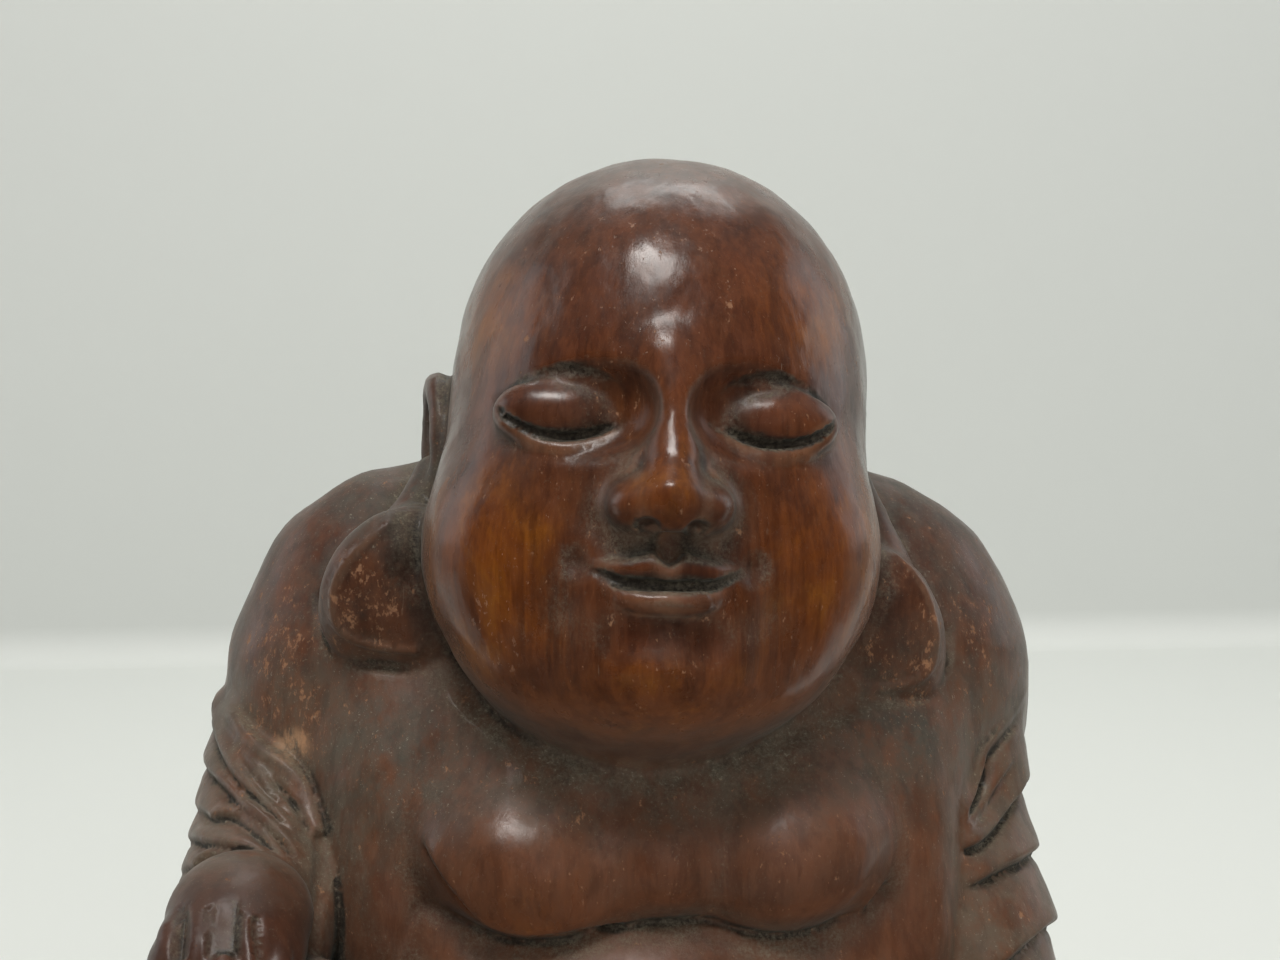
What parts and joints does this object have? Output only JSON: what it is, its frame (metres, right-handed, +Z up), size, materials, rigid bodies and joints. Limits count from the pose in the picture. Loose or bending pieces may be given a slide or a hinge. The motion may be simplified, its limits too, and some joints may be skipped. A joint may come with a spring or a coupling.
{
  "type": "wooden buddha figure",
  "caption": "Seated, bare-chested, bald figure carved from one block of dark hardwood, with long ear lobes, an off-the-shoulder robe, one knee raised and a low base.",
  "frame": {"origin": "middle of the flat underside of the base", "axes": "+Z up, the figure faces -Y, +X to its left (the viewer's right)"},
  "size_m": [0.214, 0.172, 0.2449],
  "materials": {
    "lacquered_wood": "old dark red-brown varnish over close-grained hardwood, glossy on the heights, dull and dusty in the hollows"
  },
  "bodies": {
    "root": {"buddha_figure": "lacquered_wood"}
  },
  "joints": []
}
